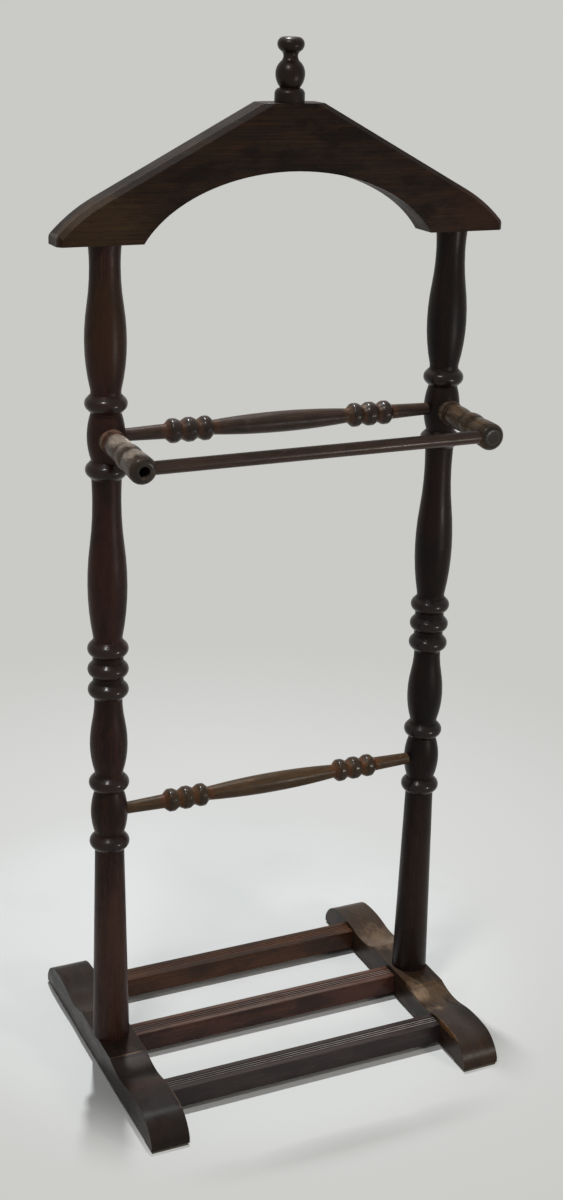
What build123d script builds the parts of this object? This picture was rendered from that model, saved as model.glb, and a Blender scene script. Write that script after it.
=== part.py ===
"""Wooden valet stand: an arched hanger on two turned posts, with turned rails,
two arms that hold a trouser bar, and a pair of shaped feet joined by reeded slats."""

import os
from math import cos, radians, sin, sqrt

from build123d import *

os.makedirs("parts", exist_ok=True)

# The frame: x runs across the stand, y from the front (-) to the back (+), z up from
# the floor. The origin lies on the floor, midway between the posts. All sizes are in
# millimetres, and a radius is half the turned diameter.

# Layout
post_spacing = 363.0          # between the axes of the two posts
upper_rail_z = 690.6
lower_rail_z = 297.0
triple_ring_z = 454.0         # the middle one of three close rings
yoke_z = 871.3                # flat underside of the hanger, on which the posts end

# Feet
foot_length = 340.0
foot_outer = 17.6             # from the post's axis to the outer face
foot_inner = 23.2             # from the post's axis to the inner face
foot_height = 30.5            # at the flat seat under the post
seat_half = 46.0              # the seat's crisp ends, in front of the post and behind it
cove_reach = 46.0             # length of the hollow beside the seat
cove_depth = 5.8              # of its middle, below the seat
cove_end_drop = 4.2           # of its outer end, below the seat
hump_end = 28.0               # from the foot's end to the start of the round nose
hump_drop = 1.9               # of that start, below the seat
nose_height = 6.0             # flat end face under the nose
pad_thickness = 3.0
pad_length = 22.0
pad_inset = 1.0

# Posts: a swelling is placed by its belly's height above the ring below it
post_foot_radius = 19.5
post_foot_round = 2.0
taper_top_radius = 15.1
ring_radius = 20.5
ring_crown_round = 7.5
ring_cove_round = 2.6
upper_ring_offset = 32.2      # from the upper rail to the ring on either side of it
lower_ring_offset = 33.3      # the same at the lower rail
triple_ring_pitch = 21.8
groove_radius = 15.4          # between the three close rings
neck_radius = 14.6
neck_land = 3.5               # short straight neck between a ring and a swelling
waist_radius = 14.0           # slim neck over the two lower swellings
top_neck_radius = 14.5
post_top_radius = 15.6
upper_block_radius = 18.4     # barrel that takes the upper rail and the arm
lower_block_radius = 18.8
lower_belly_radius = 19.0
middle_belly_radius = 19.5
upper_belly_radius = 19.9
lower_belly_rise = 42.5
middle_belly_rise = 65.5
upper_belly_rise = 58.0
middle_neck_rise = 84.5       # from the belly to the slim neck over it
upper_neck_rise = 70.0
post_tenon_radius = 9.0
post_tenon_length = 24.0
foot_tenon_radius = 8.0
foot_tenon_length = 11.0

# Hanger
yoke_half = 231.0
yoke_height = 122.7
yoke_thickness = 32.0
yoke_top_half = 31.0
shoulder_angle = 27.6         # below level
shoulder_run = 158.0          # level length of the straight part of each shoulder
tip_height = 8.0              # upright end face of each tip
tip_round = 6.0
shoulder_chamfer = 4.5
arch_half = 149.0             # half the arch's width where it meets the flat pads
arch_rise = 61.7
arch_ellipse_half = 161.0     # the arch is the top of an ellipse this wide

# Finial, with heights above the hanger's top
finial_height = 58.0
finial_base_radius = 14.2
finial_base_height = 7.5
finial_neck_radius = 9.2
finial_neck_z = 13.0
finial_belly_radius = 13.8
finial_belly_z = 25.6
finial_throat_radius = 6.8
finial_throat_z = 41.2
finial_knob_radius = 12.6
finial_knob_z = 51.7
finial_top_radius = 6.5
finial_shoulder_share = 0.68  # of the way from belly to throat, where the curve turns
finial_flare_share = 0.4      # of the way from throat to knob, where the curve turns
finial_peg_radius = 5.0
finial_peg_length = 20.0

# Rails
rail_end_radius = 6.3
rail_end_straight = 14.0      # straight end that enters the post
rail_end_chamfer = 0.8
rail_neck_radius = 7.4
rail_waist_radius = 7.2
rail_belly_radius = 10.4
rail_bead_x = 97.6            # from the rail's middle to the middle bead of a group
rail_bead_count = 3
rail_bead_pitch = 16.9
rail_bead_radius = 12.0
rail_bead_flat = 5.4          # crown of a bead, before its corners are rounded
rail_bead_round = 4.0
rail_bead_flank = 5.2         # run from a group's outer crowns down to the plain rail
rail_valley_radius = 8.8
rail_end_gap = 9.0            # from the rail's end to the post's axis

# Arms, with stations measured along the arm from the post's axis
arm_droop = 4.0               # degrees below level
arm_length = 104.3
arm_collar_radius = 12.3
arm_collar_end = 22.0
arm_groove_radius = 9.8
arm_barrel_start = 27.0
arm_barrel_end_radius = 11.0
arm_barrel_radius = 11.8
arm_bead_start = 52.0
arm_bead_start_radius = 10.5
arm_bead_radius = 13.1
arm_bead_end = 72.0
arm_bead_end_radius = 11.9
arm_front_radius = 13.5
arm_front_round = 6.0
arm_tenon_radius = 7.0
arm_tenon_end = 9.5
arm_hole_radius = 5.3         # deep hole in the front end, over the screw's head
arm_hole_depth = 46.0

# Trouser bar
bar_radius = 6.5
bar_station = 95.6            # along the arm, from the post's axis
bar_seat = 5.0                # how deep the bar sits in each arm

# Slats
slat_width = 23.0
slat_height = 22.0
slat_lift = 5.0               # above the floor
slat_pitch = 106.0
slat_middle_y = 2.5
slat_edge_round = 1.2
reed_count = 3
reed_pitch = 3.25
reed_depth = 1.1

# Dowels and screws
dowel_radius = 3.0
dowel_length = 34.0
dowel_spacing = 11.0
screw_radius = 2.4
screw_tip = 6.0
screw_tip_radius = 0.3
screw_head_radius = 4.7
screw_head_height = 3.0
screw_head_top_radius = 2.0
screw_slot_width = 1.2
screw_slot_depth = 1.3
foot_screw_length = 62.0
foot_screw_recess = 8.0       # from the foot's underside up to the washer
washer_radius = 7.5
washer_thickness = 1.5
arm_screw_length = 68.0
plug_length = 7.0

# Clearances
peg_fit = 0.1                 # round a peg, dowel, rail end or screw in its bore
bore_end_gap = 0.5            # below a peg in a blind bore
saddle_fit = 0.1              # between the hollowed end of an arm and its post
butt_fit = 0.1                # between a slat's end and the foot
recess_fit = 0.4              # round a washer or a screw's clearance hole

# Derived places
post_x = post_spacing / 2
seat_z = pad_thickness + foot_height
yoke_top_z = yoke_z + yoke_height
foot_face_x = post_x - foot_inner
arm_direction = (0, -cos(radians(arm_droop)), -sin(radians(arm_droop)))
washer_seat_z = pad_thickness + foot_screw_recess
slat_z = slat_lift + slat_height / 2
slat_rows = {
    "front_slat": slat_middle_y - slat_pitch,
    "middle_slat": slat_middle_y,
    "rear_slat": slat_middle_y + slat_pitch,
}
sides = {"left": -1, "right": 1}

# A ring's flanks rise at 45 degrees to a point, which the crown's rounding brings down
# to the ring's radius.
ring_point = ring_radius + ring_crown_round * (sqrt(2) - 1)


def arm_point(side, station):
    """A point on the axis of the left (-1) or right (1) arm."""
    return (
        side * post_x,
        arm_direction[1] * station,
        upper_rail_z + arm_direction[2] * station,
    )


def ring_foot(z, radius):
    """Height at which the lower flank of a ring leaves a neck of this radius."""
    return z - (ring_point - radius)


def ring_head(z, radius):
    """Height at which the upper flank of a ring meets a neck of this radius."""
    return z + (ring_point - radius)


def ring(z, radius_below, radius_above):
    """Outline of a ring between two necks."""
    Polyline(
        (radius_below, ring_foot(z, radius_below)),
        (ring_point, z),
        (radius_above, ring_head(z, radius_above)),
    )


def ogee(low, high, first_share=0.5):
    """Two arcs, upright at both points, that meet on the straight line between them."""
    meeting = (
        low[0] + first_share * (high[0] - low[0]),
        low[1] + first_share * (high[1] - low[1]),
    )
    TangentArc(low, meeting, tangent=(0, 1))
    TangentArc(high, meeting, tangent=(0, -1))


def swelling(low, belly, high, first_share=0.5):
    """A full curve from the low neck to the belly, then an ogee to the high neck."""
    TangentArc(belly, low, tangent=(0, -1))
    ogee(belly, high, first_share)


def export(builder, name):
    """Label the finished sub-part and write it to its own file."""
    builder.part.label = name
    export_step(builder.part, f"parts/{name}.step")


def make_post(side):
    """A turned post, bored for its rails, its arm and the screws of arm and foot."""
    x = side * post_x
    ring_e = lower_rail_z - lower_ring_offset
    ring_d = lower_rail_z + lower_ring_offset
    ring_c = [triple_ring_z + i * triple_ring_pitch for i in (-1, 0, 1)]
    ring_b = upper_rail_z - upper_ring_offset
    ring_a = upper_rail_z + upper_ring_offset
    rings = [ring_e, ring_d, *ring_c, ring_b, ring_a]
    lower_start = ring_head(ring_d, neck_radius) + neck_land
    middle_start = ring_head(ring_c[2], neck_radius) + neck_land
    upper_start = ring_head(ring_a, neck_radius) + neck_land
    lower_belly = (lower_belly_radius, ring_d + lower_belly_rise)
    middle_belly = (middle_belly_radius, ring_c[2] + middle_belly_rise)
    upper_belly = (upper_belly_radius, ring_a + upper_belly_rise)
    middle_neck = (waist_radius, middle_belly[1] + middle_neck_rise)
    upper_neck = (top_neck_radius, upper_belly[1] + upper_neck_rise)
    foot_tenon_z = seat_z - foot_tenon_length
    yoke_tenon_z = yoke_z + post_tenon_length

    with BuildPart() as post:
        with BuildSketch(Plane((x, 0, 0), x_dir=(1, 0, 0), z_dir=(0, -1, 0))) as section:
            with BuildLine():
                Polyline(
                    (0, foot_tenon_z),
                    (foot_tenon_radius, foot_tenon_z),
                    (foot_tenon_radius, seat_z),
                    (post_foot_radius, seat_z),
                    (taper_top_radius, ring_foot(ring_e, taper_top_radius)),
                )
                ring(ring_e, taper_top_radius, neck_radius)
                ThreePointArc(
                    (neck_radius, ring_head(ring_e, neck_radius)),
                    (lower_block_radius, lower_rail_z),
                    (neck_radius, ring_foot(ring_d, neck_radius)),
                )
                ring(ring_d, neck_radius, neck_radius)
                Line((neck_radius, ring_head(ring_d, neck_radius)), (neck_radius, lower_start))
                swelling(
                    (neck_radius, lower_start),
                    lower_belly,
                    (waist_radius, ring_foot(ring_c[0], waist_radius)),
                )
                ring(ring_c[0], waist_radius, groove_radius)
                for below, above in zip(ring_c, ring_c[1:]):
                    Line(
                        (groove_radius, ring_head(below, groove_radius)),
                        (groove_radius, ring_foot(above, groove_radius)),
                    )
                ring(ring_c[1], groove_radius, groove_radius)
                ring(ring_c[2], groove_radius, neck_radius)
                Line((neck_radius, ring_head(ring_c[2], neck_radius)), (neck_radius, middle_start))
                swelling((neck_radius, middle_start), middle_belly, middle_neck)
                TangentArc(middle_neck, (neck_radius, ring_foot(ring_b, neck_radius)), tangent=(0, 1))
                ring(ring_b, neck_radius, neck_radius)
                ThreePointArc(
                    (neck_radius, ring_head(ring_b, neck_radius)),
                    (upper_block_radius, upper_rail_z),
                    (neck_radius, ring_foot(ring_a, neck_radius)),
                )
                ring(ring_a, neck_radius, neck_radius)
                Line((neck_radius, ring_head(ring_a, neck_radius)), (neck_radius, upper_start))
                swelling((neck_radius, upper_start), upper_belly, upper_neck)
                TangentArc(upper_neck, (post_top_radius, yoke_z), tangent=(0, 1))
                Polyline(
                    (post_top_radius, yoke_z),
                    (post_tenon_radius, yoke_z),
                    (post_tenon_radius, yoke_tenon_z),
                    (0, yoke_tenon_z),
                    (0, foot_tenon_z),
                )
            make_face()
            corners = section.vertices()
            fillet(corners.filter_by(lambda v: v.X > ring_point - 0.01), ring_crown_round)
            coves = corners.filter_by(
                lambda v: waist_radius - 0.01 < v.X < groove_radius + 0.01
                and any(abs(v.Y - z) < ring_point - waist_radius + 0.01 for z in rings)
            )
            fillet(coves, ring_cove_round)
            fillet(corners.filter_by(lambda v: abs(v.X - post_foot_radius) < 0.01), post_foot_round)
        revolve(axis=Axis((x, 0, 0), (0, 0, 1)))

        # Rails enter from the inner side.
        for block_radius, rail_z in (
            (lower_block_radius, lower_rail_z),
            (upper_block_radius, upper_rail_z),
        ):
            with Locations(Plane((x - side * block_radius, 0, rail_z), z_dir=(-side, 0, 0))):
                Hole(rail_end_radius + peg_fit, depth=block_radius - rail_end_gap + bore_end_gap)

        # The arm's tenon and screw enter from the front, along the drooping arm.
        arm_mouth = upper_block_radius + peg_fit
        screw_end = arm_length - arm_hole_depth - arm_screw_length
        with Locations(Plane(arm_point(side, arm_mouth), z_dir=arm_direction)):
            Hole(arm_tenon_radius + peg_fit, depth=arm_mouth - arm_tenon_end + bore_end_gap)
            Hole(screw_radius + peg_fit, depth=arm_mouth - screw_end + bore_end_gap)

        # The foot's screw enters from below.
        screw_top = washer_seat_z - washer_thickness + foot_screw_length
        with Locations(Plane((x, 0, foot_tenon_z), z_dir=(0, 0, -1))):
            Hole(screw_radius + peg_fit, depth=screw_top - foot_tenon_z + bore_end_gap)
    return post


def make_yoke():
    """The hanger: sloping shoulders over an elliptical arch, with chamfered top edges."""
    ellipse_low = sqrt(1 - (arch_half / arch_ellipse_half) ** 2)
    ellipse_rise = arch_rise / (1 - ellipse_low)
    ellipse_z = yoke_z + arch_rise - ellipse_rise
    shoulder_low = (
        yoke_top_half + shoulder_run,
        yoke_top_z - shoulder_run * sin(radians(shoulder_angle)) / cos(radians(shoulder_angle)),
    )
    with BuildPart() as yoke:
        with BuildSketch(Plane.XZ) as outline:
            with BuildLine():
                Line((0, yoke_top_z), (yoke_top_half, yoke_top_z))
                shoulder = Line((yoke_top_half, yoke_top_z), shoulder_low)
                TangentArc(shoulder @ 1, (yoke_half, yoke_z + tip_height), tangent=shoulder % 1)
                Polyline((yoke_half, yoke_z + tip_height), (yoke_half, yoke_z), (0, yoke_z))
                mirror(about=Plane.YZ)
            make_face()
            tips = outline.vertices().filter_by(
                lambda v: abs(v.Y - yoke_z - tip_height) < 0.01 and abs(v.X) > yoke_half - 0.01
            )
            fillet(tips, tip_round)
            with Locations((0, ellipse_z)):
                Ellipse(arch_ellipse_half, ellipse_rise, mode=Mode.SUBTRACT)
        extrude(amount=yoke_thickness / 2, both=True)
        rims = yoke.edges().filter_by(
            lambda e: abs(abs(e.center().Y) - yoke_thickness / 2) < 0.01
            and abs(e.center().X) > yoke_top_half
            and e.center().Z > yoke_z + 0.01
        )
        chamfer(rims, shoulder_chamfer)
        with Locations(*[Plane((side * post_x, 0, yoke_z), z_dir=(0, 0, -1)) for side in (-1, 1)]):
            Hole(post_tenon_radius + peg_fit, depth=post_tenon_length + bore_end_gap)
        with Locations(Plane((0, 0, yoke_top_z), z_dir=(0, 0, 1))):
            Hole(finial_peg_radius + peg_fit, depth=finial_peg_length + bore_end_gap)
    return yoke


def make_finial():
    """The turned finial, with a peg that enters the hanger."""
    base_round = (finial_base_radius, yoke_top_z + finial_base_height)
    neck = (finial_neck_radius, yoke_top_z + finial_neck_z)
    belly = (finial_belly_radius, yoke_top_z + finial_belly_z)
    throat = (finial_throat_radius, yoke_top_z + finial_throat_z)
    knob = (finial_knob_radius, yoke_top_z + finial_knob_z)
    top = (finial_top_radius, yoke_top_z + finial_height)
    with BuildPart() as finial:
        with BuildSketch(Plane.XZ):
            with BuildLine():
                Polyline(
                    (0, yoke_top_z - finial_peg_length),
                    (finial_peg_radius, yoke_top_z - finial_peg_length),
                    (finial_peg_radius, yoke_top_z),
                    (finial_base_radius, yoke_top_z),
                    base_round,
                )
                TangentArc(base_round, neck, tangent=(0, 1))
                swelling(neck, belly, throat, finial_shoulder_share)
                ogee(throat, knob, finial_flare_share)
                TangentArc(knob, top, tangent=(0, 1))
                Polyline(top, (0, top[1]), (0, yoke_top_z - finial_peg_length))
            make_face()
        revolve(axis=Axis.Z)
    return finial


def make_rail(z):
    """A turned rail: a long belly between two groups of flat-crowned beads."""
    end_x = post_x - rail_end_gap
    crowns = [rail_bead_x + (i - (rail_bead_count - 1) / 2) * rail_bead_pitch
              for i in range(rail_bead_count)]
    inner_x = crowns[0] - rail_bead_flat / 2 - rail_bead_flank
    outer_x = crowns[-1] + rail_bead_flat / 2 + rail_bead_flank
    with BuildPart() as rail:
        with BuildSketch(Plane((0, 0, z), x_dir=(1, 0, 0), z_dir=(0, -1, 0))) as section:
            with BuildLine():
                Line((0, 0), (0, rail_belly_radius))
                TangentArc((0, rail_belly_radius), (inner_x, rail_waist_radius), tangent=(1, 0))
                feet = [(crown + rail_bead_pitch / 2, rail_valley_radius) for crown in crowns[:-1]]
                feet = [(inner_x, rail_waist_radius), *feet, (outer_x, rail_neck_radius)]
                for crown, low, high in zip(crowns, feet, feet[1:]):
                    Polyline(
                        low,
                        (crown - rail_bead_flat / 2, rail_bead_radius),
                        (crown + rail_bead_flat / 2, rail_bead_radius),
                        high,
                    )
                Polyline(
                    (outer_x, rail_neck_radius),
                    (end_x - rail_end_straight, rail_end_radius),
                    (end_x, rail_end_radius),
                    (end_x, 0),
                    (0, 0),
                )
            make_face()
            corners = section.vertices()
            fillet(corners.filter_by(lambda v: v.Y > rail_bead_radius - 0.01), rail_bead_round)
            mirror(about=Plane.YZ)
        revolve(axis=Axis((0, 0, z), (1, 0, 0)))
        ends = rail.edges().filter_by(
            lambda e: abs(abs(e.center().X) - end_x) < 0.01
        )
        chamfer(ends, rail_end_chamfer)
    return rail


def make_arm(side):
    """A turned arm whose rear end is hollowed to sit on the post's barrel."""
    root = arm_point(side, 0)
    front_start = arm_length - arm_front_round
    bead_middle = (arm_bead_start + arm_bead_end) / 2
    barrel_middle = (arm_barrel_start + arm_bead_start) / 2
    ring_a = upper_rail_z + upper_ring_offset
    ring_b = upper_rail_z - upper_ring_offset
    with BuildPart() as arm:
        with BuildSketch(Plane(root, x_dir=arm_direction, z_dir=(1, 0, 0))) as section:
            with BuildLine():
                Polyline(
                    (arm_front_round, 0),
                    (arm_front_round, arm_collar_radius),
                    (arm_collar_end, arm_collar_radius),
                    (arm_collar_end, arm_groove_radius),
                    (arm_barrel_start, arm_groove_radius),
                    (arm_barrel_start, arm_barrel_end_radius),
                )
                ThreePointArc(
                    (arm_barrel_start, arm_barrel_end_radius),
                    (barrel_middle, arm_barrel_radius),
                    (arm_bead_start, arm_bead_start_radius),
                )
                ThreePointArc(
                    (arm_bead_start, arm_bead_start_radius),
                    (bead_middle, arm_bead_radius),
                    (arm_bead_end, arm_bead_end_radius),
                )
                TangentArc(
                    (front_start, arm_front_radius),
                    (arm_bead_end, arm_bead_end_radius),
                    tangent=(-1, 0),
                )
                RadiusArc(
                    (front_start, arm_front_radius),
                    (arm_length, arm_front_radius - arm_front_round),
                    arm_front_round,
                )
                Polyline(
                    (arm_length, arm_front_radius - arm_front_round),
                    (arm_length, 0),
                    (arm_front_round, 0),
                )
            make_face()
        revolve(axis=Axis(root, arm_direction))

        # Hollow the rear end to the post's barrel, then add the tenon.
        with BuildSketch(Plane((root[0], 0, 0), x_dir=(1, 0, 0), z_dir=(0, -1, 0))):
            with BuildLine():
                ThreePointArc(
                    (neck_radius + saddle_fit, ring_head(ring_b, neck_radius)),
                    (upper_block_radius + saddle_fit, upper_rail_z),
                    (neck_radius + saddle_fit, ring_foot(ring_a, neck_radius)),
                )
                Polyline(
                    (neck_radius + saddle_fit, ring_foot(ring_a, neck_radius)),
                    (0, ring_foot(ring_a, neck_radius)),
                    (0, ring_head(ring_b, neck_radius)),
                    (neck_radius + saddle_fit, ring_head(ring_b, neck_radius)),
                )
            make_face()
        revolve(axis=Axis((root[0], 0, 0), (0, 0, 1)), mode=Mode.SUBTRACT)
        with BuildSketch(Plane(arm_point(side, arm_tenon_end), z_dir=arm_direction)):
            Circle(arm_tenon_radius)
        extrude(amount=arm_collar_end - arm_tenon_end)

        # The screw's deep hole, and the seat of the trouser bar.
        with Locations(Plane(arm_point(side, arm_length), z_dir=arm_direction)):
            CounterBoreHole(
                screw_radius + recess_fit,
                arm_hole_radius,
                arm_hole_depth,
            )
        bar_point = arm_point(side, bar_station)
        seat_plane = Plane(
            (bar_point[0] - side * arm_front_radius, bar_point[1], bar_point[2]),
            z_dir=(-side, 0, 0),
        )
        with Locations(seat_plane):
            Hole(bar_radius + peg_fit, depth=bar_seat + bore_end_gap)
    return arm


def make_trouser_bar():
    """A plain dowel held between the two arms."""
    point = arm_point(1, bar_station)
    half = post_x - arm_front_radius + bar_seat
    with BuildPart() as bar:
        with BuildSketch(Plane((0, point[1], point[2]), x_dir=(0, 1, 0), z_dir=(1, 0, 0))):
            Circle(bar_radius)
        extrude(amount=half, both=True)
    return bar


def make_foot(side):
    """A foot with a flat seat, a hollow on either side of it and rounded ends."""
    x = side * post_x
    outer_x = x + side * foot_outer
    half = foot_length / 2
    cove_end = (seat_half + cove_reach, seat_z - cove_end_drop)
    with BuildPart() as foot:
        with BuildSketch(Plane.YZ.offset(outer_x)):
            with BuildLine():
                Line((0, seat_z), (seat_half, seat_z))
                cove = ThreePointArc(
                    (seat_half, seat_z),
                    (seat_half + cove_reach / 2, seat_z - cove_depth),
                    cove_end,
                )
                hump = TangentArc(
                    cove_end, (half - hump_end, seat_z - hump_drop), tangent=cove % 1
                )
                TangentArc(hump @ 1, (half, pad_thickness + nose_height), tangent=hump % 1)
                Polyline(
                    (half, pad_thickness + nose_height),
                    (half, pad_thickness),
                    (0, pad_thickness),
                    (0, seat_z),
                )
            make_face()
            mirror(about=Plane.YZ)
        extrude(amount=-side * (foot_outer + foot_inner))

        # The post's tenon, its screw and washer.
        with Locations(Plane((x, 0, seat_z), z_dir=(0, 0, 1))):
            CounterBoreHole(
                screw_radius + recess_fit,
                foot_tenon_radius + peg_fit,
                foot_tenon_length + bore_end_gap,
            )
        with Locations(Plane((x, 0, pad_thickness), z_dir=(0, 0, -1))):
            Hole(washer_radius + recess_fit, depth=foot_screw_recess)

        # Dowel holes for the three slats, in the inner face.
        dowel_places = [
            Plane((side * foot_face_x, y + step * dowel_spacing / 2, slat_z), z_dir=(-side, 0, 0))
            for y in slat_rows.values()
            for step in (-1, 1)
        ]
        with Locations(*dowel_places):
            Hole(dowel_radius + peg_fit, depth=dowel_length / 2 + bore_end_gap)
    return foot


def make_pad(side, end):
    """A thin glide under one end of a foot."""
    middle_x = side * (post_x + (foot_outer - foot_inner) / 2)
    middle_y = end * (foot_length / 2 - pad_inset - pad_length / 2)
    with BuildPart() as pad:
        with BuildSketch(Plane.XY):
            with Locations((middle_x, middle_y)):
                Rectangle(foot_outer + foot_inner - 2 * pad_inset, pad_length)
        extrude(amount=pad_thickness)
    return pad


def make_slat(y):
    """A slat with a band of half-round reeds along its top, dowelled at both ends."""
    end_x = foot_face_x - butt_fit
    top_z = slat_lift + slat_height
    reed_radius = (reed_pitch ** 2 / 4 + reed_depth ** 2) / (2 * reed_depth)
    reeds = [(y + (i - (reed_count - 1) / 2) * reed_pitch, top_z - reed_radius)
             for i in range(reed_count)]
    with BuildPart() as slat:
        with BuildSketch(Plane.YZ) as section:
            with Locations((y, slat_z)):
                Rectangle(slat_width, slat_height)
            fillet(section.vertices().group_by(Axis.Y)[-1], slat_edge_round)
            with Locations((y, top_z - reed_depth / 2)):
                Rectangle(reed_count * reed_pitch, reed_depth, mode=Mode.SUBTRACT)
            with Locations(*reeds):
                Circle(reed_radius)
        extrude(amount=end_x, both=True)
        dowel_places = [
            Plane((side * end_x, y + step * dowel_spacing / 2, slat_z), z_dir=(side, 0, 0))
            for side in (-1, 1)
            for step in (-1, 1)
        ]
        with Locations(*dowel_places):
            Hole(dowel_radius + peg_fit, depth=dowel_length / 2 + bore_end_gap)
    return slat


def make_slat_dowels():
    """The dowels between slats and feet, two at each joint."""
    joint_x = foot_face_x - butt_fit / 2
    with BuildPart() as dowels:
        for side in (-1, 1):
            places = [
                (y + step * dowel_spacing / 2, slat_z)
                for y in slat_rows.values()
                for step in (-1, 1)
            ]
            with BuildSketch(Plane.YZ.offset(side * joint_x)):
                with Locations(*places):
                    Circle(dowel_radius)
            extrude(amount=dowel_length / 2, both=True)
    return dowels


def make_screws(bases, direction, length):
    """Round-head wood screws; each base is the underside of a head, on the screw's axis."""
    head_top = -screw_head_height
    with BuildPart() as screws:
        for base in bases:
            with BuildSketch(Plane(base, x_dir=direction, z_dir=(1, 0, 0))):
                with BuildLine():
                    Polyline(
                        (head_top, 0),
                        (length, 0),
                        (length, screw_tip_radius),
                        (length - screw_tip, screw_radius),
                        (0, screw_radius),
                        (0, screw_head_radius),
                    )
                    TangentArc(
                        (0, screw_head_radius), (head_top, screw_head_top_radius), tangent=(-1, 0)
                    )
                    Line((head_top, screw_head_top_radius), (head_top, 0))
                make_face()
            revolve(axis=Axis(base, direction))
            with BuildSketch(Plane(base, z_dir=direction).offset(head_top)):
                Rectangle(3 * screw_head_radius, screw_slot_width)
            extrude(amount=screw_slot_depth, mode=Mode.SUBTRACT)
    return screws


def make_foot_washers():
    """One washer over the head of each foot screw."""
    with BuildPart() as washers:
        with BuildSketch(Plane.XY.offset(washer_seat_z - washer_thickness)):
            with Locations((-post_x, 0), (post_x, 0)):
                Circle(washer_radius)
                Circle(screw_radius + peg_fit, mode=Mode.SUBTRACT)
        extrude(amount=washer_thickness)
    return washers


def make_arm_plug():
    """The plug that closes the right arm's hole; the left arm's is open."""
    with BuildPart() as plug:
        with BuildSketch(Plane(arm_point(1, arm_length - plug_length), z_dir=arm_direction)):
            Circle(arm_hole_radius - peg_fit)
        extrude(amount=plug_length)
    return plug


export(make_yoke(), "hanger_yoke")
export(make_finial(), "finial")
export(make_rail(upper_rail_z), "upper_rail")
export(make_rail(lower_rail_z), "lower_rail")
export(make_trouser_bar(), "trouser_bar")
for side_name, side in sides.items():
    export(make_post(side), f"{side_name}_post")
    export(make_arm(side), f"{side_name}_arm")
    export(make_foot(side), f"{side_name}_foot")
    for end_name, end in (("front", -1), ("rear", 1)):
        export(make_pad(side, end), f"{side_name}_{end_name}_pad")
for slat_name, slat_y in slat_rows.items():
    export(make_slat(slat_y), slat_name)
export(make_slat_dowels(), "slat_dowels")

arm_screw_bases = [arm_point(side, arm_length - arm_hole_depth) for side in (-1, 1)]
arm_screw_direction = tuple(-c for c in arm_direction)
export(make_screws(arm_screw_bases, arm_screw_direction, arm_screw_length), "arm_screws")

foot_screw_bases = [(side * post_x, 0, washer_seat_z - washer_thickness) for side in (-1, 1)]
export(make_screws(foot_screw_bases, (0, 0, 1), foot_screw_length), "foot_screws")
export(make_foot_washers(), "foot_washers")
export(make_arm_plug(), "arm_plug")
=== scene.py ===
"""The wooden valet stand in a pale studio: its finishes, the floor, the light and the camera."""

import math

import bpy
from mathutils import Matrix, Vector

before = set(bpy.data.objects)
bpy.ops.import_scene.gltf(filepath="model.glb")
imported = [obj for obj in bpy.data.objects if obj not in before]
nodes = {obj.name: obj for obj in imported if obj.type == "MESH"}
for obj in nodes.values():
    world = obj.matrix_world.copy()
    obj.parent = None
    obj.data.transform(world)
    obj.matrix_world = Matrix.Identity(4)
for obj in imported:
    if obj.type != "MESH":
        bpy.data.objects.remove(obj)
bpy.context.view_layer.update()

X_AXIS, Y_AXIS, Z_AXIS = 0, 1, 2
MM = 0.001


def tone(red, green, blue):
    """A display colour, 0 to 255, as linear red, green, blue and alpha."""
    shares = [c / 255 for c in (red, green, blue)]
    linear = [s / 12.92 if s < 0.04045 else ((s + 0.055) / 1.055) ** 2.4 for s in shares]
    return (*linear, 1.0)


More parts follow.
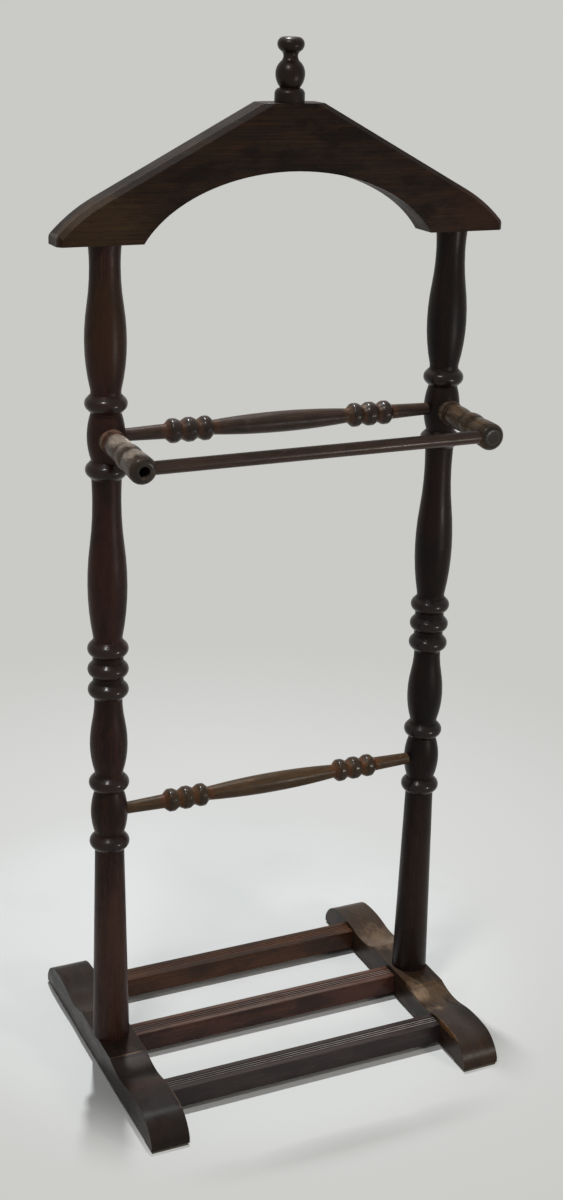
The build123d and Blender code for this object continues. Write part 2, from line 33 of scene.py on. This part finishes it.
class Shade:
    """A node material, built one node at a time."""

    def __init__(self, name):
        self.material = bpy.data.materials.new(name)
        self.material.use_nodes = True
        self.tree = self.material.node_tree
        self.tree.nodes.clear()
        self.place = self.add("ShaderNodeTexCoord").outputs["Object"]
        self.geometry = self.add("ShaderNodeNewGeometry")

    def add(self, kind, inputs=None, **settings):
        """A new node; an input is a value, or another node's output to link."""
        node = self.tree.nodes.new(kind)
        for key, value in settings.items():
            setattr(node, key, value)
        for key, value in (inputs or {}).items():
            if isinstance(value, bpy.types.NodeSocket):
                self.tree.links.new(value, node.inputs[key])
            else:
                node.inputs[key].default_value = value
        return node

    def math(self, operation, *values, clamp=False):
        node = self.add("ShaderNodeMath", dict(enumerate(values)), operation=operation)
        node.use_clamp = clamp
        return node.outputs[0]

    def product(self, *values):
        result = values[0]
        for value in values[1:]:
            result = self.math("MULTIPLY", result, value)
        return result

    def vector_math(self, operation, *vectors):
        return self.add("ShaderNodeVectorMath", dict(enumerate(vectors)), operation=operation)

    def scaled(self, vector, factors):
        return self.vector_math("MULTIPLY", vector, factors).outputs[0]

    def shifted(self, vector, offsets):
        return self.vector_math("ADD", vector, offsets).outputs[0]

    def length(self, vector):
        return self.vector_math("LENGTH", vector).outputs["Value"]

    def parts(self, vector):
        return self.add("ShaderNodeSeparateXYZ", {0: vector}).outputs

    def away(self, centre):
        """The way from a centre, in metres, to the shaded point."""
        return self.shifted(self.place, [-c for c in centre])

    def up(self):
        """How far the surface looks up, 1 for a level top."""
        return self.parts(self.geometry.outputs["Normal"])[2]

    def noise(self, vector, scale=1.0, detail=2.0, roughness=0.5):
        inputs = {"Vector": vector, "Scale": scale, "Detail": detail, "Roughness": roughness}
        return self.add("ShaderNodeTexNoise", inputs).outputs[0]

    def step(self, value, start, end, low=0.0, high=1.0):
        """A smooth ramp from low to high, as the value goes from start to end."""
        inputs = {"Value": value, "From Min": start, "From Max": end, "To Min": low, "To Max": high}
        node = self.add("ShaderNodeMapRange", inputs, interpolation_type="SMOOTHSTEP")
        return node.outputs[0]

    def mix(self, share, first, second):
        inputs = {0: share, 6: first, 7: second}
        return self.add("ShaderNodeMix", inputs, data_type="RGBA").outputs[2]

    def output(self, shader):
        self.add("ShaderNodeOutputMaterial", {"Surface": shader})
        return self.material


# Marks on the wood. Each is a function of the shade and its rub pattern, and gives the
# mark's mask, colour and shine. Their places and sizes are in millimetres.

UP_RAMP = (0.4, 0.7)
UP_RUB_RAMP = (0.25, 0.6, 0.7, 1.0)
BAND_RUB_RAMP = (0.2, 0.55, 0.6, 1.0)
STAIN_RAMP = (1.0, 0.4)           # from a stain's outline inwards
ZONE_CORE = 0.75                  # share of a zone's half width at full strength


def stain(centre, radii, colour, strength=0.8, ragged=1.0, shine=0.0):
    """A patch of another tone with a ragged outline."""

    def mark(shade, rub):
        near = shade.away([c * MM for c in centre])
        far = shade.length(shade.scaled(near, [1 / (r * MM) for r in radii]))
        uneven = shade.math("MULTIPLY_ADD", rub, ragged, shade.math("ADD", far, -0.5 * ragged))
        return shade.product(shade.step(uneven, *STAIN_RAMP), strength), colour, shine

    return mark


def painted_shade_on_tops(colour, strength):
    """A painted shade: a tone on the faces that look up."""

    def mark(shade, rub):
        mask = shade.product(shade.step(shade.up(), *UP_RAMP), shade.step(rub, *UP_RUB_RAMP))
        return shade.product(mask, strength), colour, 0.0

    return mark


def band(centre, axis, inner, outer, colour, strength=0.8, shine=0.0, zones=None):
    """A tone where a turned piece's radius passes from inner to outer.

    Zones, where given, are a half width and the stations along the axis that keep the tone.
    """

    def mark(shade, rub):
        factors = [1, 1, 1]
        factors[axis] = 0
        near = shade.away([c * MM for c in centre])
        radius = shade.length(shade.scaled(near, factors))
        mask = shade.step(radius, inner * MM, outer * MM)
        if zones:
            half, stations = zones
            along = shade.parts(near)[axis]
            gaps = [
                shade.math("ABSOLUTE", shade.math("SUBTRACT", along, station * MM))
                for station in stations
            ]
            gap = gaps[0]
            for other in gaps[1:]:
                gap = shade.math("MINIMUM", gap, other)
            mask = shade.product(mask, shade.step(gap, half * MM, ZONE_CORE * half * MM))
        return shade.product(mask, shade.step(rub, *BAND_RUB_RAMP), strength), colour, shine

    return mark


# Tones

HAZE = tone(112, 102, 96)
SPECK = tone(190, 186, 176)
JET = tone(12, 8, 7)
EBONY = tone(20, 13, 11)
BLACK_BROWN = tone(30, 20, 16)
RING_RED = tone(30, 17, 13)
DARK_RED = tone(52, 28, 20)
RUST = tone(96, 50, 24)
WORN_TAN = tone(124, 100, 80)
WORN_GREY = tone(104, 94, 88)
WORN_GOLD = tone(138, 98, 58)

# Wood patterns, in noise cycles per metre along and across the fibres

FIBRE = (16, 1100)
PORE = (110, 2600)
MOTTLE = (22, 60)
CLOUD = (7, 14)
WARP = (3, 16)
RUB = (60, 160)
WAVE = (30, 90)
SEED_STEP = (0.37, 0.61, 0.83)    # metres by which each seed moves the patterns

# Ramps: the pattern's value at the start and end, then the shares there if not 0 and 1

PORE_RAMP = (0.60, 0.72)
GRAIN_RAMP = (0.24, 0.76)
MOTTLE_RAMP = (0.44, 0.62, 0.0, 0.8)
CLOUD_RAMP = (0.5, 0.72, 0.0, 0.5)
MARK_GRAIN_RAMP = (0.3, 0.62, 0.6, 1.0)
EDGE_RAMP = (0.985, 0.86)         # cosine between the true and the rounded normal
EDGE_RUB_RAMP = (0.36, 0.62)
PATCH_RAMP = (0.56, 0.70)
PATCH_RUB_RAMP = (0.40, 0.60)
HAZE_UP_RAMP = (0.45, 0.95)
HAZE_MOTTLE_RAMP = (0.3, 0.62, 0.1, 1.0)
GLOSS_RAMP = (0.3, 0.7)

# Growth rings

RING_SPACING = 9.0 * MM
RING_WANDER = 2.4                 # spacings by which the warp moves a ring
RING_SHARE = 0.08                 # of the rings in the grain; the rest is fibre
PITH_SIDE, PITH_SIDE_STEP = 0.021, 0.004
PITH_DEPTH, PITH_DEPTH_STEP = 0.033, 0.003

# Surface

PORE_STRENGTH = 0.6
PORE_SHADE = 0.35                 # a pore's tone, as a share of the dark wood's
GLOSS_BELOW, GLOSS_ABOVE = 0.05, 0.08
WEAR_ROUGHNESS = 0.14
HAZE_ROUGHNESS = 0.2
PORE_ROUGHNESS = 0.1
SHINE_SMOOTHNESS = 0.17
COAT_ROUGHNESS = 0.16
FIBRE_RELIEF, PORE_RELIEF, WAVE_RELIEF = 0.5, -0.8, 1.5
RELIEF_STRENGTH, RELIEF_DEPTH = 0.5, 0.06 * MM

# Specks

SPECK_SPACING = 30 * MM
SPECK_RADIUS = 0.5 * MM
SPECK_CORE = 0.6                  # share of the radius at full strength
SPECK_SHARE = 0.12                # of the places that hold one


def specks(shade, seed):
    """A few tiny dots where the finish is chipped or dusty."""
    cells = shade.add(
        "ShaderNodeTexVoronoi",
        {"Vector": shade.shifted(shade.place, (seed, seed, seed)), "Scale": 1 / SPECK_SPACING},
    )
    outer, inner = SPECK_RADIUS / SPECK_SPACING, SPECK_CORE * SPECK_RADIUS / SPECK_SPACING
    near = shade.step(cells.outputs["Distance"], outer, inner)
    chosen = shade.parts(cells.outputs["Color"])[0]
    return shade.math("MULTIPLY", near, shade.math("GREATER_THAN", chosen, 1 - SPECK_SHARE))


def wood(
    name,
    axis,
    dark,
    brown,
    worn,
    seed,
    edge_wear=0.5,
    edge_radius=0.6 * MM,
    patches=0.0,
    dust=0.0,
    gloss=0.30,
    specular=0.17,
    marks=(),
):
    """Stained and lacquered wood with its fibres along one axis."""
    shade = Shade(name)
    place = shade.shifted(shade.place, [s * seed for s in SEED_STEP])

    def pattern(along_and_across, detail, roughness=0.5):
        along, across = along_and_across
        factors = [across] * 3
        factors[axis] = along
        return shade.noise(shade.scaled(place, factors), detail=detail, roughness=roughness)

    fibre = pattern(FIBRE, 4, 0.6)
    pore = shade.step(pattern(PORE, 1), *PORE_RAMP)
    mottle = pattern(MOTTLE, 5, 0.62)
    cloud = pattern(CLOUD, 3)
    warp = pattern(WARP, 2)
    rub = pattern(RUB, 3, 0.6)

    across = [shade.parts(shade.place)[i] for i in range(3) if i != axis]
    side = shade.math("ADD", across[0], PITH_SIDE + PITH_SIDE_STEP * (seed % 3))
    depth = shade.math("ADD", across[1], PITH_DEPTH - PITH_DEPTH_STEP * (seed % 4))
    squares = [shade.math("POWER", value, 2.0) for value in (side, depth)]
    pith = shade.math("SQRT", shade.math("ADD", *squares))
    turns = shade.math(
        "ADD", shade.math("DIVIDE", pith, RING_SPACING), shade.product(warp, RING_WANDER)
    )
    year = shade.math("PINGPONG", turns, 1.0)
    grain = shade.math(
        "ADD", shade.product(fibre, 1 - RING_SHARE), shade.product(year, RING_SHARE)
    )

    colour = shade.mix(shade.step(grain, *GRAIN_RAMP), dark, brown)
    colour = shade.mix(shade.step(mottle, *MOTTLE_RAMP), colour, dark)
    colour = shade.mix(shade.step(cloud, *CLOUD_RAMP), colour, brown)

    shine = 0.0
    for mark in marks:
        mask, mark_colour, mark_shine = mark(shade, rub)
        uneven = shade.product(mask, shade.step(grain, *MARK_GRAIN_RAMP))
        colour = shade.mix(uneven, colour, mark_colour)
        if mark_shine:
            shine = shade.math("MAXIMUM", shine, shade.product(mask, mark_shine))
    pore_tone = [c * PORE_SHADE for c in dark[:3]] + [1.0]
    colour = shade.mix(shade.product(pore, PORE_STRENGTH), colour, pore_tone)

    # Worn edges, found by comparing the true normal with that of a rounded edge.
    rounded = shade.add("ShaderNodeBevel", {"Radius": edge_radius}, samples=6).outputs[0]
    normal = shade.geometry.outputs["Normal"]
    turned = shade.vector_math("DOT_PRODUCT", rounded, normal).outputs["Value"]
    edge = shade.step(turned, *EDGE_RAMP)
    wear = shade.product(edge, shade.step(rub, *EDGE_RUB_RAMP), edge_wear)
    if patches:
        rubbed = shade.product(
            shade.step(mottle, *PATCH_RAMP), shade.step(rub, *PATCH_RUB_RAMP), patches
        )
        wear = shade.math("MAXIMUM", wear, rubbed)
    colour = shade.mix(wear, colour, worn)

    haze = shade.product(
        shade.step(shade.up(), *HAZE_UP_RAMP), shade.step(mottle, *HAZE_MOTTLE_RAMP), dust
    )
    colour = shade.mix(haze, colour, HAZE)
    colour = shade.mix(specks(shade, seed), colour, SPECK)

    rough = shade.step(mottle, *GLOSS_RAMP, gloss - GLOSS_BELOW, gloss + GLOSS_ABOVE)
    for mask, share in ((wear, WEAR_ROUGHNESS), (haze, HAZE_ROUGHNESS), (pore, PORE_ROUGHNESS)):
        rough = shade.math("ADD", rough, shade.product(mask, share))
    if marks:
        smoother = shade.product(shine, SHINE_SMOOTHNESS)
        rough = shade.math("SUBTRACT", rough, smoother, clamp=True)

    height = shade.math(
        "ADD", shade.product(fibre, FIBRE_RELIEF), shade.product(pore, PORE_RELIEF)
    )
    height = shade.math("ADD", height, shade.product(pattern(WAVE, 2), WAVE_RELIEF))
    relief = {
        "Strength": RELIEF_STRENGTH,
        "Distance": RELIEF_DEPTH,
        "Height": height,
        "Normal": rounded,
    }
    surface = shade.add(
        "ShaderNodeBsdfPrincipled",
        {
            "Base Color": colour,
            "Roughness": rough,
            "Normal": shade.add("ShaderNodeBump", relief).outputs[0],
            "Specular IOR Level": specular,
            "Coat Weight": shine,
            "Coat Roughness": COAT_ROUGHNESS,
        },
    )
    return shade.output(surface.outputs[0])


# Places on the stand, in millimetres

POST_X = 181.5
FOOT_X = 178.7                    # a foot's middle
FOOT_INNER_X = 158.6
SEAT_Z = 33.4
SEAT_END = 46.2
UPPER_RAIL_Z = 690.6
LOWER_RAIL_Z = 297
RING_HEIGHTS = (263.7, 330.3, 432.2, 454, 475.8, 658.4, 722.8)
GROOVE_HEIGHTS = (443, 465)       # between the three close rings
BEAD_X, BEAD_PITCH = 97.6, 16.9   # a group's middle bead, and the step to the next
FRONT_ROW, MIDDLE_ROW, REAR_ROW = -103.5, 2.5, 108.5
SLAT_TOP_Z = 27.2
SLAT_MIDDLE_Z = 16
SLAT_END_X = 158
SLAT_MARGIN = 8.3                 # from a slat's middle to the flat strip beside the reeds
SLAT_MARGIN_RADII = (200, 3.6, 1.2)
SLAT_EDGE_RADIUS = 0.25 * MM
REED_PITCH = 3.25
REED_BAND_EDGE = (1.62, 1.5)      # pitches from the middle, where the reeds end
REED_TOP = (25.0, 25.5)           # heights where the reeds' tones set in
REED_RUN = (-0.15, 0.15)          # metres along the slat, where the crests' wear and painted highlight change
REED_RUB_RAMP = (0.3, 0.5, 0.4, 1.0)


def slat_marks(row, crest_wear_and_highlight, left, right, margin, margin_strength):
    """Painted shade in the grooves, worn crests with a painted highlight, and rubbed margins on a
    slat's reeded top.

    The crests' wear and painted highlight go from the left to the right strength along the slat.
    """

    def reed_band(start, end, colour, low, high, shine):
        def mark(shade, rub):
            along, depth, height = shade.parts(shade.place)
            off = shade.math("ABSOLUTE", shade.math("SUBTRACT", depth, row * MM))
            wave = shade.math("PINGPONG", shade.math("DIVIDE", off, REED_PITCH * MM), 0.5)
            inside = shade.step(off, *(edge * REED_PITCH * MM for edge in REED_BAND_EDGE))
            top = shade.step(height, *(z * MM for z in REED_TOP))
            share = shade.step(along, *REED_RUN, low, high)
            mask = shade.product(shade.step(wave, start, end), inside, top, share)
            return shade.product(mask, shade.step(rub, *REED_RUB_RAMP)), colour, shine

        return mark

    front, rear = (
        stain((0, row + side * SLAT_MARGIN, SLAT_TOP_Z), SLAT_MARGIN_RADII, margin, strength, 0.9)
        for side, strength in ((-1, margin_strength), (1, margin_strength * 0.7))
    )
    return (
        front,
        rear,
        # Painted shade in the reeds' grooves
        reed_band(0.2, 0.36, JET, 0.95, 0.95, 0.0),
        # Worn crests with a painted highlight, stronger to the right
        reed_band(0.2, 0.08, crest_wear_and_highlight, left, right, 0.5),
        stain((SLAT_END_X, row, SLAT_MIDDLE_Z), (1.0, 14, 14), tone(112, 110, 96), 0.7, 0.3),
    )


def post_marks(x):
    """Glossy rings, and painted shade in the grooves between the three close ones."""
    return (
        band((x, 0, 0), Z_AXIS, 15.0, 17.0, RING_RED, 0.6, 0.5, (12, RING_HEIGHTS)),
        # Painted shade in the grooves between the three close rings
        band((x, 0, 0), Z_AXIS, 16.4, 15.4, JET, 0.7, 0.0, (14, GROOVE_HEIGHTS)),
    )


def rail_marks(z, crown, valley):
    """Dark glossy crowns and lighter valleys on the beads of a rail."""
    beads, gaps = (
        [side * (BEAD_X + step * BEAD_PITCH) for side in (-1, 1) for step in steps]
        for steps in ((-1, 0, 1), (-1.5, -0.5, 0.5, 1.5))
    )
    return (
        band((0, 0, z), X_AXIS, 10.6, 9.6, valley, 0.45, 0.0, (5.5, gaps)),
        band((0, 0, z), X_AXIS, 10.4, 11.2, crown, 0.6, 0.25, (8.0, beads)),
    )


def arm_marks(x, barrel, barrel_strength, root):
    """The marks of an arm, along its slight droop."""
    return (
        # Worn tops of the barrel, the bead and the front part, then the root
        stain((x, -40, 700), (17, 22, 13), barrel, barrel_strength, 0.9),
        stain((x, -62, 698), (15, 9, 11), barrel, 0.8 * barrel_strength, 0.9),
        stain((x, -84, 696), (16, 14, 12), barrel, 0.9 * barrel_strength, 0.9),
        stain((x, -20, 694), (16, 6, 14), root, 0.8, 1.0),
        # Painted shade in the grooves
        stain((x, -24.5, 689), (18, 2.2, 18), JET, 0.8, 0.3),
        stain((x, -52.2, 687), (18, 1.7, 18), JET, 0.8, 0.3),
        stain((x, -72.4, 686), (18, 1.7, 18), JET, 0.7, 0.3),
        # Front end, and the worn line behind it
        stain((x, -105, 683), (18, 8, 18), tone(26, 26, 20), 0.9, 0.5, 0.15),
        stain((x, -96.5, 683.5), (18, 1.3, 18), WORN_TAN, 0.4, 0.9),
    )


def foot_marks(side, slope, slope_strength, hump, hump_strength, worn_line):
    """The marks of a foot: its slopes, its front hump and the worn edges of its seat."""
    x = side * FOOT_X
    return (
        stain((x, -62, 30), (34, 40, 8), slope, slope_strength, 1.3),
        stain((x, 66, 30), (34, 44, 8), slope, 0.6 * slope_strength, 1.3),
        stain((x, -136, 30), (40, 28, 18), hump, hump_strength, 0.8, 0.2),
        stain((x, -98, 31), (32, 13, 5), DARK_RED, 0.6, 1.2),
        stain((x - 4 * side, -50, SEAT_Z), (24, 4.0, 2.2), JET, 0.5, 0.8),
        stain((x, -SEAT_END, SEAT_Z), (21, 1.2, 1.4), worn_line, 0.8, 1.1),
        stain((x, SEAT_END, SEAT_Z), (21, 1.2, 1.4), worn_line, 0.4, 1.1),
        stain((side * FOOT_INNER_X, -128, 30), (2.2, 26, 5), worn_line, 0.55, 1.3),
    )


# Finishes, one for each wooden node, because each stick was cut from its own board

finishes = {
    "hanger_yoke": wood(
        "yoke_finish", X_AXIS, EBONY, tone(58, 38, 24), WORN_GREY, 1,
        edge_wear=0.6, gloss=0.4, specular=0.07,
        marks=(
            # Painted shade on the yoke's faces that look up
            painted_shade_on_tops(tone(24, 22, 22), 0.75),
            stain((-195, -16, 888), (62, 22, 40), tone(70, 52, 34), 0.65, 1.3),
            stain((205, -16, 892), (56, 22, 34), tone(62, 38, 26), 0.6, 1.3),
            stain((15, -16, 935), (75, 22, 26), JET, 0.6, 1.3),
            stain((-90, -16, 955), (30, 22, 14), tone(46, 32, 18), 0.6, 1.3),
            stain((-231, 0, 885), (3, 26, 22), tone(84, 80, 74), 0.7, 0.8),
        ),
    ),
    "finial": wood("finial_finish", Z_AXIS, EBONY, tone(42, 28, 20), WORN_GREY, 2, gloss=0.32),
    "left_post": wood(
        "left_post_finish", Z_AXIS, tone(28, 18, 15), tone(64, 36, 28), WORN_TAN, 3,
        gloss=0.36, specular=0.13,
        marks=(
            stain((-POST_X, -10, 800), (26, 26, 70), tone(60, 40, 22), 0.6, 1.4),
            stain((-POST_X, -10, 120), (26, 26, 150), tone(84, 58, 48), 0.6, 0.8),
            *post_marks(-POST_X),
        ),
    ),
    "right_post": wood(
        "right_post_finish", Z_AXIS, JET, tone(36, 20, 16), WORN_TAN, 4,
        gloss=0.36, specular=0.13,
        marks=(
            stain((POST_X, -10, 130), (26, 26, 150), tone(56, 42, 36), 0.5, 0.8),
            *post_marks(POST_X),
        ),
    ),
    "upper_rail": wood(
        "upper_rail_finish", X_AXIS, tone(46, 36, 31), tone(74, 56, 46), WORN_TAN, 5,
        patches=0.3, marks=rail_marks(UPPER_RAIL_Z, BLACK_BROWN, tone(92, 60, 38)),
    ),
    "lower_rail": wood(
        "lower_rail_finish", X_AXIS, tone(54, 40, 28), tone(88, 66, 42), WORN_GOLD, 6,
        patches=0.5, marks=rail_marks(LOWER_RAIL_Z, EBONY, RUST),
    ),
    "left_arm": wood(
        "left_arm_finish", Y_AXIS, tone(50, 38, 32), tone(96, 78, 62), WORN_TAN, 7,
        dust=0.25, patches=0.4,
        marks=arm_marks(-POST_X, tone(222, 202, 184), 0.95, tone(170, 118, 96)),
    ),
    "right_arm": wood(
        "right_arm_finish", Y_AXIS, tone(46, 34, 26), tone(88, 68, 46), WORN_TAN, 8,
        dust=0.2, marks=arm_marks(POST_X, tone(146, 116, 88), 0.85, tone(130, 108, 88)),
    ),
    "trouser_bar": wood(
        "bar_finish", X_AXIS, tone(50, 38, 33), tone(82, 62, 52), WORN_TAN, 9,
        patches=0.4, gloss=0.26,
    ),
    "left_foot": wood(
        "left_foot_finish", Y_AXIS, tone(28, 22, 20), tone(50, 38, 33), WORN_TAN, 10,
        dust=0.05, specular=0.1,
        marks=(
            *foot_marks(-1, tone(62, 52, 48), 0.6, tone(22, 18, 19), 0.85, WORN_TAN),
            stain((-FOOT_X, -163, 24), (22, 2.0, 2.0), tone(118, 100, 86), 0.5, 1.0),
        ),
    ),
    "right_foot": wood(
        "right_foot_finish", Y_AXIS, BLACK_BROWN, tone(66, 48, 34), WORN_GOLD, 11,
        dust=0.1, specular=0.13,
        marks=(
            *foot_marks(1, tone(134, 110, 86), 0.95, tone(48, 36, 32), 0.7, WORN_GOLD),
            stain((FOOT_X, -20, 33.5), (26, 34, 3), tone(70, 48, 28), 0.6, 1.2),
        ),
    ),
    # Each slat's crest tone is its wear and a painted highlight
    "front_slat": wood(
        "front_slat_finish", X_AXIS, tone(44, 37, 37), tone(64, 53, 51), WORN_GREY, 12,
        edge_radius=SLAT_EDGE_RADIUS,
        marks=slat_marks(FRONT_ROW, tone(168, 158, 152), 0.3, 0.9, tone(74, 62, 60), 0.6),
    ),
    "middle_slat": wood(
        "middle_slat_finish", X_AXIS, tone(46, 29, 24), tone(90, 54, 42), WORN_TAN, 13,
        edge_radius=SLAT_EDGE_RADIUS,
        marks=slat_marks(MIDDLE_ROW, tone(156, 138, 128), 0.2, 0.8, tone(116, 98, 88), 0.7),
    ),
    "rear_slat": wood(
        "rear_slat_finish", X_AXIS, tone(50, 31, 21), tone(96, 60, 36), WORN_TAN, 14,
        edge_radius=SLAT_EDGE_RADIUS,
        marks=slat_marks(REAR_ROW, tone(120, 72, 46), 0.15, 0.9, tone(44, 31, 26), 0.9),
    ),
    "slat_dowels": wood(
        "dowel_finish", X_AXIS, tone(150, 118, 82), tone(176, 144, 104), WORN_TAN, 15
    ),
    "arm_plug": wood("plug_finish", Y_AXIS, EBONY, BLACK_BROWN, WORN_TAN, 16),
}

FUZZ_SCALE = 1800
SCRATCH_SCALES = (900, 900, 200)


def felt():
    """Pressed felt of the glides under the feet."""
    shade = Shade("felt_finish")
    fuzz = shade.noise(shade.place, FUZZ_SCALE, 4, 0.7)
    colour = shade.mix(shade.step(fuzz, 0.3, 0.7), tone(70, 66, 56), tone(112, 106, 92))
    bump = shade.add("ShaderNodeBump", {"Strength": 0.8, "Distance": 0.3 * MM, "Height": fuzz})
    rough = shade.step(fuzz, 0.2, 0.8, 0.85, 0.98)
    surface = shade.add(
        "ShaderNodeBsdfPrincipled",
        {"Base Color": colour, "Roughness": rough, "Normal": bump.outputs[0]},
    )
    return shade.output(surface.outputs[0])


def steel():
    """Slightly dull steel of the hidden screws and washers."""
    shade = Shade("steel_finish")
    scratches = shade.noise(shade.scaled(shade.place, SCRATCH_SCALES), detail=3)
    colour = shade.mix(shade.step(scratches, 0.3, 0.7), tone(150, 148, 142), tone(186, 184, 178))
    bump = shade.add(
        "ShaderNodeBump", {"Strength": 0.3, "Distance": 0.05 * MM, "Height": scratches}
    )
    surface = shade.add(
        "ShaderNodeBsdfPrincipled",
        {
            "Base Color": colour,
            "Metallic": 1.0,
            "Roughness": shade.step(scratches, 0.2, 0.8, 0.28, 0.45),
            "Normal": bump.outputs[0],
        },
    )
    return shade.output(surface.outputs[0])


felt_finish, steel_finish = felt(), steel()
for name, node in nodes.items():
    finish = finishes.get(name, felt_finish if name.endswith("_pad") else steel_finish)
    for material_slot in node.material_slots:
        material_slot.material = finish

# Floor: pale paper that is lit near the stand and keeps one even tone far away, with a painted pool
# of light round a spot behind the stand

FLOOR_RADIUS = 16.0
FLOOR_SIDES = 96
PAINTED_LIGHT_POOL = (0.10, 0.36, 0.0)
STAND_SPOT = (0.0, 0.15, 0.0)
LIT_SHAPE, LIT_EDGE = (0.9, 0.85, 1.0), (0.25, 0.37)
FLOOR_IN_PAINTED_POOL, FLOOR_FAR = tone(226, 226, 224), tone(212, 212, 209)
FLOOR_FADE = (0.15, 0.75)         # metres from the painted pool's centre
PAPER_IN_PAINTED_POOL, PAPER_TONE = tone(217, 218, 216), tone(202, 202, 199)
PAPER_FADE = (0.2, 0.85)
CLOUD_TONE, CLOUD_SCALE = tone(196, 194, 186), 7
FLOOR_CLOUD_RAMP = (0.55, 0.85, 0.0, 0.25)


def floor():
    """A round floor, lit by the lamps near the stand and self-lit elsewhere, lighter in a painted
    pool of light.
    """
    mesh = bpy.data.meshes.new("floor")
    angles = [2 * math.pi * i / FLOOR_SIDES for i in range(FLOOR_SIDES)]
    rim = [(FLOOR_RADIUS * math.cos(a), FLOOR_RADIUS * math.sin(a), 0) for a in angles]
    mesh.from_pydata(rim, [], [range(FLOOR_SIDES)])
    piece = bpy.data.objects.new("floor", mesh)
    bpy.context.scene.collection.objects.link(piece)
    shade = Shade("floor_finish")
    # Painted pool of light: the paper and its glow are lighter near one spot
    far = shade.length(shade.away(PAINTED_LIGHT_POOL))
    paper = shade.mix(shade.step(far, *FLOOR_FADE), FLOOR_IN_PAINTED_POOL, FLOOR_FAR)
    clouds = shade.noise(shade.place, CLOUD_SCALE, 3)
    paper = shade.mix(shade.step(clouds, *FLOOR_CLOUD_RAMP), paper, CLOUD_TONE)
    lit = shade.add(
        "ShaderNodeBsdfPrincipled",
        {"Base Color": paper, "Roughness": 0.55, "Specular IOR Level": 0.3},
    )
    glow = shade.mix(shade.step(far, *PAPER_FADE), PAPER_IN_PAINTED_POOL, PAPER_TONE)
    even = shade.add("ShaderNodeEmission", {"Color": glow, "Strength": 1.0})
    ray = shade.add("ShaderNodeLightPath").outputs
    seen = shade.math("MAXIMUM", ray["Is Camera Ray"], ray["Is Glossy Ray"])
    seen = shade.math("MAXIMUM", seen, ray["Is Transmission Ray"])
    beside = shade.scaled(shade.away(STAND_SPOT), LIT_SHAPE)
    share = shade.product(seen, shade.step(shade.length(beside), *LIT_EDGE))
    both = shade.add("ShaderNodeMixShader", {0: share, 1: lit.outputs[0], 2: even.outputs[0]})
    mesh.materials.append(shade.output(both.outputs[0]))


SKY_TONE, SKY_STRENGTH = (0.94, 0.97, 1.0, 1.0), 0.10


def backdrop():
    """A world that shows the far paper's tone, and lights the stand dimly from all round."""
    world = bpy.data.worlds.new("studio")
    bpy.context.scene.world = world
    world.use_nodes = True
    tree = world.node_tree
    tree.nodes.clear()
    ray = tree.nodes.new("ShaderNodeLightPath").outputs
    seen = ray["Is Camera Ray"]
    for kind in ("Is Glossy Ray", "Is Transmission Ray"):
        either = tree.nodes.new("ShaderNodeMath")
        either.operation = "MAXIMUM"
        tree.links.new(seen, either.inputs[0])
        tree.links.new(ray[kind], either.inputs[1])
        seen = either.outputs[0]
    dim, pale = (tree.nodes.new("ShaderNodeBackground") for _ in range(2))
    dim.inputs[0].default_value = SKY_TONE
    dim.inputs[1].default_value = SKY_STRENGTH
    pale.inputs[0].default_value = PAPER_TONE
    blend = tree.nodes.new("ShaderNodeMixShader")
    tree.links.new(seen, blend.inputs[0])
    tree.links.new(dim.outputs[0], blend.inputs[1])
    tree.links.new(pale.outputs[0], blend.inputs[2])
    output = tree.nodes.new("ShaderNodeOutputWorld")
    tree.links.new(blend.outputs[0], output.inputs[0])


floor()
backdrop()

# Lamps, in metres and watts

WHITE, COOL, WARM = (1, 1, 1), (0.95, 0.98, 1.0), (1.0, 0.95, 0.88)


def lamp(name, place, aim, width, height, power, colour):
    """A rectangular lamp that looks at its aim."""
    light = bpy.data.lights.new(name, "AREA")
    light.shape = "RECTANGLE"
    light.size, light.size_y = width, height
    light.energy = power
    light.color = colour
    holder = bpy.data.objects.new(name, light)
    holder.location = place
    direction = Vector(aim) - Vector(place)
    holder.rotation_mode = "QUATERNION"
    holder.rotation_quaternion = direction.to_track_quat("-Z", "Y")
    bpy.context.scene.collection.objects.link(holder)


lamp("top_light", (0.05, 0.58, 2.4), (0.05, 0.1, 0), 0.07, 0.07, 44, COOL)
lamp("right_softbox", (0.60, -1.08, 0.50), (0, 0, 0.35), 0.20, 0.20, 3.6, WARM)
lamp("left_softbox", (-0.62, -0.55, 1.95), (0, 0, 0.45), 0.26, 0.14, 8, WHITE)

# Camera, solved from the photograph's perspective, with its angles in radians

CAMERA_PLACE = (-0.7092, -1.5233, 1.1146)
YAW, PITCH, ROLL = 0.439, -0.349, 0.028
LENS_MM = 52.46
CLIP_END = 100


def make_camera():
    forward = Vector(
        (math.sin(YAW) * math.cos(PITCH), math.cos(YAW) * math.cos(PITCH), math.sin(PITCH))
    )
    level = Vector((math.cos(YAW), -math.sin(YAW), 0))
    upward = level.cross(forward)
    right = math.cos(ROLL) * level + math.sin(ROLL) * upward
    top = -math.sin(ROLL) * level + math.cos(ROLL) * upward
    data = bpy.data.cameras.new("camera")
    data.lens = LENS_MM
    data.clip_end = CLIP_END
    holder = bpy.data.objects.new("camera", data)
    turn = Matrix((right, top, -forward)).transposed().to_4x4()
    holder.matrix_world = Matrix.Translation(CAMERA_PLACE) @ turn
    bpy.context.scene.collection.objects.link(holder)
    bpy.context.scene.camera = holder


make_camera()
bpy.context.scene.view_settings.view_transform = "Standard"
